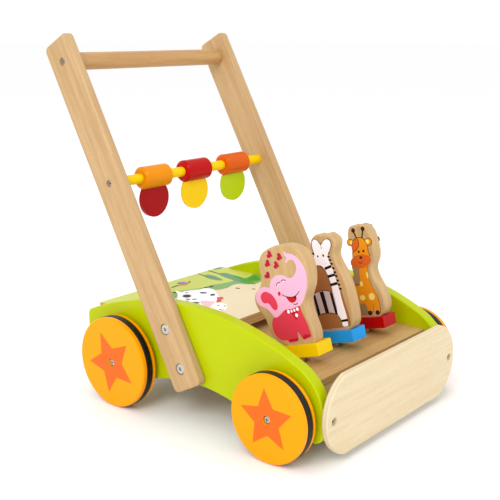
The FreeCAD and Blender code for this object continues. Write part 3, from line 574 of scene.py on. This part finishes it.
def draw_elephant(p):
    """A laughing pink elephant with its trunk up, in crimson trousers."""
    p.add("pink", smooth([(20, 121), (16, 118), (10, 116.5), (3.5, 112), (-1.5, 105), (-4, 98),
                          (-4.5, 91), (-3, 83), (0, 75), (3.5, 69), (8, 63), (14, 58), (26, 55),
                          (37, 54), (42, 52), (47, 48.5), (51, 47), (55, 49), (58, 53.5), (62, 58),
                          (68, 61.5), (74, 65.5), (76, 72), (73.5, 78.5), (68, 83), (61, 84.5),
                          (55, 83.5), (52, 82.5), (50.5, 86), (47.5, 90.5), (42, 94), (35, 95.5),
                          (28, 94.5), (23, 91), (17, 90), (12, 93), (8, 98), (7, 104), (9, 108.5),
                          (12.5, 110.5), (16, 110), (19.5, 107.5), (20.5, 109.5), (18, 113.5),
                          (20, 117)]))
    p.add("rose", smooth([
        (68.5, 73), (66, 77), (60.5, 79), (55, 77.5), (50.5, 74), (47, 68), (46, 62), (47.5, 57.5),
        (51, 56), (54.5, 58.5), (57, 63), (60, 65.5), (64, 65.5), (67.5, 68)]))
    p.add("crimson", smooth([(37, 55), (26, 55.5), (15.5, 57.5), (13.5, 51), (11.5, 44), (9.5, 37),
                             (8.5, 30), (7.8, 22.5), (13, 20.5), (19, 19), (22, 23), (25.5, 28.5),
                             (26.5, 24), (27.5, 18.5), (34, 17.5), (41.5, 17.5), (43, 20),
                             (50.5, 20.5), (56, 24), (59.5, 28.5), (61, 34.5), (60, 41.5),
                             (56.5, 47.5), (50, 48), (44, 51)], 3))
    p.add("hoof",
          [(16, 25), (8.4, 23.8), (7.9, 22.4), (19, 19.2), (21, 22)],
          [(40, 20.8), (27.2, 21.8), (27.5, 18.7), (41.3, 17.7)],
          smooth([(36.5, 55), (26, 55.3), (16, 57), (15.5, 55), (26, 52), (35, 52)], 3),
          [(29, 51), (18, 53), (23.6, 41.6)])
    p.add("white", oval((32.3, 52.8), 2.0, 2.2), oval((27.6, 53.0), 1.4, 1.7), oval((23.4, 53.4),
        1.4, 1.7), oval((18.8, 54.4), 1.9, 2.0), oval((21.8, 47.6), 2.0, 2.2))
    p.add("mouth", smooth([(31, 70), (28, 69), (22.5, 68.6), (17, 69.4), (16.6, 66), (19.5, 63.2),
                           (24, 62.2), (28, 64.4)], 4), oval((39.6, 74.4), 1.8, 2.5, 20))
    p.add("black", stroke([(36.5, 73.2), (31, 70.2), (22.5, 68.6), (15.5, 70.2), (10.5, 74)], 0.8),
          stroke([(22.5, 60.4), (19, 60), (16.2, 61.4)], 0.8),
          smooth([(17.5, 69.3), (20.5, 67.6), (18, 66.6), (17, 67.6)], 3),
          stroke([(41.5, 83.4), (38.4, 86.6), (34.6, 87.4)], 0.9),
          stroke([(33.2, 87.6), (29.8, 89.4), (26.4, 88)], 0.9))
    p.add("white", stroke([(40.6, 82.6), (38.4, 85.0), (36.4, 85.8)], 0.9),
          stroke([(32.2, 86.9), (29.8, 88.0), (28.2, 87.6)], 0.7))
    p.add("heart", *[heart(c, 4.5, t) for c, t in (((41, 120), -60), ((27.5, 115.5), -65),
        ((46.6, 110.4), -55), ((34.6, 107), -68), ((50.6, 97), -40))])


def draw_zebra(p):
    """A white zebra with heart-shaped ears and one long front leg."""
    p.add("earth", smooth([(36, 93), (30, 93), (24, 88), (21.5, 79), (20, 70), (19.5, 60),
                           (35, 62.5), (46, 60.5), (49, 72), (42, 84)], 4), smooth([(48, 33.5),
        (40, 35), (28, 35), (18.5, 33), (14.8, 25), (13, 17.5), (28, 16.5), (45, 16.5), (50, 24)],
        4), smooth([(6.5, 62), (4.6, 46), (2.2, 30), (3, 19), (6, 18.6), (6.4, 32), (9, 50)], 4))
    p.add("grey", smooth([(47, 59), (40, 61.6), (32, 62.4), (24, 60.8), (19, 56), (16, 44),
                          (17.5, 31.5), (24, 35), (33, 36), (41, 35.4), (48, 33.6), (54, 40),
                          (54.5, 50)], 4))
    p.add("black",
          [(49, 57.6), (45.6, 58.8), (43.2, 35), (47.4, 33.6)],
          [(38.4, 61.4), (32.6, 61.9), (30.2, 35.2), (35.4, 35.6)],
          [(24, 60.4), (20, 58.8), (17.6, 32), (21.6, 34.2)],
          [(54.4, 52), (53, 53.6), (50.2, 36), (52, 38)])
    p.add("black", smooth([(35.4, 122.4), (31, 125.4), (26.8, 123.4), (23, 118.4), (17.3, 122.4),
                           (12.3, 123.4), (8.2, 120.6), (8.2, 114.2), (11.7, 108.4), (14.4, 104.6),
                           (22, 100), (34, 104), (36.4, 111), (36.8, 117.4)]))
    p.add("white", smooth([(35, 121.6), (31, 124.6), (27, 122.6), (23, 117), (17.5, 121.6),
                           (12.5, 122.6), (9, 120), (9, 114.5), (12.3, 109), (15.2, 105), (16, 97),
                           (14.4, 90.6), (23.5, 87.6), (26.5, 91), (30.5, 93.2), (35.5, 92.8),
                           (36, 98), (36.2, 103.6), (34.6, 107), (35.6, 111), (36, 117)]),
          smooth([(24, 89), (21.2, 78.5), (19.7, 71), (19.2, 61), (18, 53), (17.6, 42), (18.2, 34),
                  (16.8, 30), (14.6, 25), (14.2, 19.6), (13, 18.4), (8, 18.4), (6.4, 20.6),
                  (6.2, 25.5), (6, 31.5), (7.3, 41), (8.3, 50.5), (9.3, 60.5), (10.3, 70),
                  (11.8, 78.5), (13, 87.5), (14.4, 91)], 4))
    p.add("black", [(24, 90), (14, 92.2), (13.4, 89.2), (23.5, 86.8)], [(22, 80.4), (11.4, 81.8),
        (10.9, 78.8), (21.5, 77)], [(20.6, 70), (10.3, 71.6), (9.8, 68.3), (20.4, 66.8)],
          [(15.2, 26), (5.7, 27), (5.6, 24), (14.8, 23.4)], *[oval(c, 1.9, 1.25,
        20) for c in ((15.2, 102), (14, 98), (13, 93.4), (11.6, 88), (10.6, 83), (9.6, 78.4),
                      (8.8, 73), (8, 68), (7.2, 63))], oval((30.4, 104), 1.1, 1.3),
          oval((22.4, 104.2), 1.35, 1.6), oval((37, 108), 1.5, 1.1), stroke([(23, 117), (23, 112)],
        0.6), stroke([(36, 93), (31, 92.8), (27, 90), (24, 86.5), (21, 77), (19.4, 62)], 0.7),
          stroke([(47, 60), (40, 62), (32, 62.8), (24, 61.4), (19.6, 60)], 0.7),
          stroke([(48, 33.2), (41, 34.8), (33, 35.4), (24, 34.6), (18, 31.6), (14.6, 25)], 0.7))


def draw_giraffe(p):
    """An orange giraffe with two horns and pale spots."""
    p.add("dust", smooth([(34, 80), (26, 78), (22.6, 74), (25.4, 64), (27, 55), (36, 53), (40, 58),
                          (34, 68)], 4), smooth([(37, 28), (30, 31), (25, 29.5), (22, 24),
        (21, 17), (34, 16.4), (46, 17), (48, 24)], 4))
    body = [(23, 77), (25, 66), (27.2, 56), (37, 54.5), (45, 50), (49, 42), (47, 30), (45, 22),
            (40, 20), (36.6, 24), (34.6, 28), (31, 31), (26.5, 31), (23, 27), (22.6, 20.5),
            (16.2, 19.8), (14, 24), (13.4, 30), (12, 22), (7, 17.8), (4.8, 21), (4.4, 29.5),
            (5.4, 39.5), (9.2, 48), (11.8, 56), (12.8, 66), (12.4, 77)]
    p.add("brown", smooth([(a + (a - 24) * 0.03, b + (b - 44) * 0.015) for a, b in body], 4),
          oval((30, 108.6), 5.0, 4.6), oval((3.9, 106.8), 5.4, 4.9))
    p.add("orange", smooth(body, 4), oval((30, 108.6), 4.3, 3.9), oval((4, 106.8), 4.7, 4.2))
    p.add("cream", oval((28.2, 108.4), 2.4, 2.4), oval((5.2, 107.2), 2.7, 2.6))
    p.add("brown", smooth([(29.2, 99), (28.8, 104), (25.4, 110.8), (21.2, 113.2), (15.5, 113.8),
                           (10, 111.6), (6.9, 107), (5.9, 101.6), (6, 94.5), (6.6, 88), (28, 90)],
                          4))
    p.add("orange", smooth([(28.5, 99), (28, 104), (24.6, 110.2), (21, 112.4), (15.5, 113),
                            (10.5, 111), (7.5, 106.5), (6.5, 101.5), (6.6, 94.5), (7.2, 88),
                            (27.6, 90)], 4))
    p.add("rust", smooth([(21, 112.3), (18, 110), (18.2, 105), (21.5, 100.5), (28.2, 96),
                          (28, 103), (25, 109)], 4))
    p.add("rust", oval((19.8, 84), 15.2, 8.4, -6, 32))
    p.add("cream", oval((25, 56), 2.2, 3.2), oval((13.9, 66), 1.3, 4.0), oval((27, 38.5), 3.9,
        3.4), oval((13.4, 39), 4.2, 4.4), oval((41, 44), 3, 2.6))
    p.add("brown",
          oval((22.4, 123), 2.6, 2.7), oval((8.2, 123.4), 2.7, 2.8),
          stroke([(22.4, 122), (20.8, 117), (19.4, 112.6)], 1.7),
          stroke([(8.4, 122), (10, 117), (11.8, 112.4)], 1.7),
          oval((20, 96), 1.5, 1.7), oval((13, 96.2), 1.5, 1.7), oval((18.4, 88.6), 2.2, 1.8),
          stroke([(23.6, 83.4), (20.2, 81.6), (16.8, 83.2)], 0.8),
          stroke([(18.2, 112.4), (17.8, 105), (21.4, 100), (28.8, 95.4)], 0.7),
          oval((20, 19), 3.2, 2.9, 10), oval((9, 18.8), 3.0, 2.9, -10),
          stroke([(27, 55.6), (32, 55), (38, 53.8)], 0.8))


def draw_board(p):
    """A meadow: sandy ground, a hill, a spotted cow, a snail, leafy twigs and tufts of grass."""
    p.add("hill", smooth([(-117.6, 112), (-90, 122), (-60, 127), (-30, 124), (-15, 118), (-7, 114),
                          (7, 108), (19, 105), (33, 105), (48, 99), (64, 96), (80, 97), (100, 92),
                          (117.6, 96), (117.6, 60), (60, 62), (0, 70), (-117.6, 80)], 4))
    p.add("sand", smooth([(-117.6, 84), (-90, 92), (-60, 96), (-30, 100), (-5, 101), (12, 92),
                          (18, 85), (26, 79.6), (40, 79), (51, 82), (62, 80), (68, 69), (80, 62),
                          (100, 66), (117.6, 70)], 4, False) + [(117.6, -23.2), (-117.6, -23.2)])
    p.add("grass", [(93, 121), (92, 104), (88, 88), (101.7, 92), (111, 90), (104, 77), (97, 70),
                    (83, 73), (75, 59.6), (70, 72), (71, 85), (82, 97)], *[[(x - 8, y), (x - 9,
        y + 16), (x - 3, y + 6), (x, y + 20), (x + 4, y + 7), (x + 10, y + 15), (x + 8, y)] for x,
        y in ((-100, 88), (-72, 96), (106, 20), (-96, -8))])
    p.add("teal", smooth([(63.7, 147), (70, 145.6), (72.2, 136.7), (68.7, 122.7), (62, 109),
                          (57.5, 115.4), (56, 126.2), (58.5, 138)], 4), smooth([(84.8, 137),
        (92, 134.8), (94, 125.8), (87.4, 109.3), (75, 86), (69.8, 89), (73.2, 102.4), (76, 117),
        (79.4, 128)], 4), smooth([(98, 159), (106, 160.4), (115, 157), (105.4, 154)], 4))
    p.add("brown", stroke([(66.3, 160.5), (64.5, 152), (62.5, 144)], 1.8),
          stroke([(88.6, 160.6), (87, 149), (85, 136)], 2.4),
          stroke([(-10.6, 137.5), (-4, 138.4), (3, 138)], 2.6),
          stroke([(24, 137), (27, 139), (27.6, 142)], 2.2))
    p.add("snail", smooth([(0, 141), (4, 136.6), (11, 131.6), (19, 134.4), (25, 136.4), (23, 140),
                           (12, 138.4)], 4))
    p.add("violet", oval((14.4, 143.2), 5.4, 6.4, 60))
    p.add("white", smooth([(-22, 121.5), (-18.5, 120), (-18, 112), (-13.6, 111.5), (-5.5, 108.6),
                           (7, 101.5), (14, 101), (18, 98), (19, 91), (17, 84.7), (8, 72),
                           (-1, 61), (-12, 48), (-27, 44), (-34, 43), (-46, 37), (-45, 50),
                           (-43.5, 60), (-53, 68), (-60, 80), (-54, 84), (-46.2, 93), (-34, 104),
                           (-26, 112)], 4), smooth([(-44, 37), (-33, 43), (-24.8, 42.5),
        (-22, 36.8), (-22.5, 29.5), (-28.3, 21.9), (-39.2, 15), (-47, 14.5), (-50, 22.3)], 4))
    p.add("black", oval((-27.4, 93.4), 7.2, 5.6, 40), oval((-2.4, 86.9), 5, 3.4, -60),
          oval((-1.5, 71), 4.6, 3.4, 20), oval((-42.7, 63.7), 5.6, 3.6, -50), oval((-45.4, 77),
        3.4, 2.4, -50), oval((-37.3, 82), 3.2, 2.2, -50), oval((-31.9, 75.7), 3.2, 2, -50),
          oval((18.9, 102), 2.6, 1.8, -40), oval((27.5, 99.6), 3.6, 1.9, -15), oval((-32, 33.8),
        1.5, 1.9), oval((-28.8, 25.4), 1.9, 1.5), oval((-44, 19.4), 2.4, 1.6, -30),
          oval((-16.5, 104), 2.4, 1.6, -40), oval((-24.5, 118.5), 3, 2.2, 40))
    p.add("cow_pink", smooth([(-34.2, 63), (-27, 58.8), (-24, 46.5), (-33, 42.6), (-44.6, 38.4),
                              (-43, 50)], 4), oval((-43.6, 16.6), 4, 2.2, 30))
    p.add("cow_red", [(-6.2, 60), (-3.4, 55.4), (-0.4, 56), (-2.2, 52), (-5, 48.4), (-9, 49.4),
                      (-12.3, 46), (-16.5, 42), (-24, 44.4), (-17, 50), (-11.6, 53.4)])
    p.add("brown", oval((44, 66), 3.4, 1.3, -70), oval((55, 47), 2.6, 1.1, -60), oval((64, 26), 3,
        1.2, -60), oval((74, 6), 3, 1.2, -55))


picture = Print("board_picture", "walker_frame", board_face, "printed_plywood")
draw_board(picture)
picture.build(Vector((0, 0, 1)))

DRAWINGS = {"elephant": draw_elephant, "zebra": draw_zebra, "giraffe": draw_giraffe}
for animal, draw in DRAWINGS.items():
    for side_name, side in SIDES.items():
        picture = Print(f"{animal}_picture_{side_name}", f"{animal}_lever_set",
                        figure_face(animal, side), "limewood")
        draw(picture)
        picture.build(Vector((side, 0, 0)))

# ---------------------------------------------------------------- camera, floor and light
CAMERA_PLACE = (-0.85823, -0.70396, 0.45125)
CAMERA_YAW, CAMERA_PITCH = math.radians(50.33), math.radians(-13.58)
CAMERA_LENS, SENSOR_WIDTH = 65.24, 36.0          # millimetres
FLOOR_REACH = 30.0
FLOOR_WHITE = (0.97, 0.97, 0.97)
WORLD_STRENGTH = 1.02
LIGHTS = {                       # place, target, size and power in watts
    "key": ((-1.7, -0.6, 1.5), (0, 0, 0.15), 1.0, 18),
    "fill": ((0.6, -1.9, 1.2), (0, 0, 0.15), 1.6, 5),
    "back": ((0.6, 1.8, 1.6), (0, 0, 0.2), 1.4, 5),
}

camera_data = bpy.data.cameras.new("camera")
camera_data.lens = CAMERA_LENS
camera_data.sensor_width = SENSOR_WIDTH
camera = bpy.data.objects.new("camera", camera_data)
bpy.context.scene.collection.objects.link(camera)
camera.location = CAMERA_PLACE
sight = Vector((math.sin(CAMERA_YAW) * math.cos(CAMERA_PITCH),
                math.cos(CAMERA_YAW) * math.cos(CAMERA_PITCH), math.sin(CAMERA_PITCH)))
camera.rotation_euler = sight.to_track_quat("-Z", "Y").to_euler()
bpy.context.scene.camera = camera

floor_mesh = bpy.data.meshes.new("floor")
corners = [(x * FLOOR_REACH, y * FLOOR_REACH, 0) for x, y in ((-1, -1), (1, -1), (1, 1), (-1, 1))]
floor_mesh.from_pydata(corners, [], [(0, 1, 2, 3)])
floor_mesh.materials.append(Shader("floor_white").finish(FLOOR_WHITE, 0.8, specular=0.0))
floor = bpy.data.objects.new("floor", floor_mesh)
bpy.context.scene.collection.objects.link(floor)
floor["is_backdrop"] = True


def area_light(name, where, target, size, power):
    """A soft square light aimed at a point."""
    data = bpy.data.lights.new(name, "AREA")
    data.size = size
    data.energy = power
    lamp = bpy.data.objects.new(name, data)
    lamp.location = where
    lamp.rotation_euler = (Vector(target) - Vector(where)).to_track_quat("-Z", "Y").to_euler()
    bpy.context.scene.collection.objects.link(lamp)
    lamp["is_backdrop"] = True


for light, settings in LIGHTS.items():
    area_light(light, *settings)

world = bpy.data.worlds.new("studio")
world.use_nodes = True
backdrop = world.node_tree.nodes["Background"].inputs
backdrop["Color"].default_value = (1, 1, 1, 1)
backdrop["Strength"].default_value = WORLD_STRENGTH
bpy.context.scene.world = world
bpy.context.scene.view_settings.view_transform = "Standard"

write_size("finished", sizes)
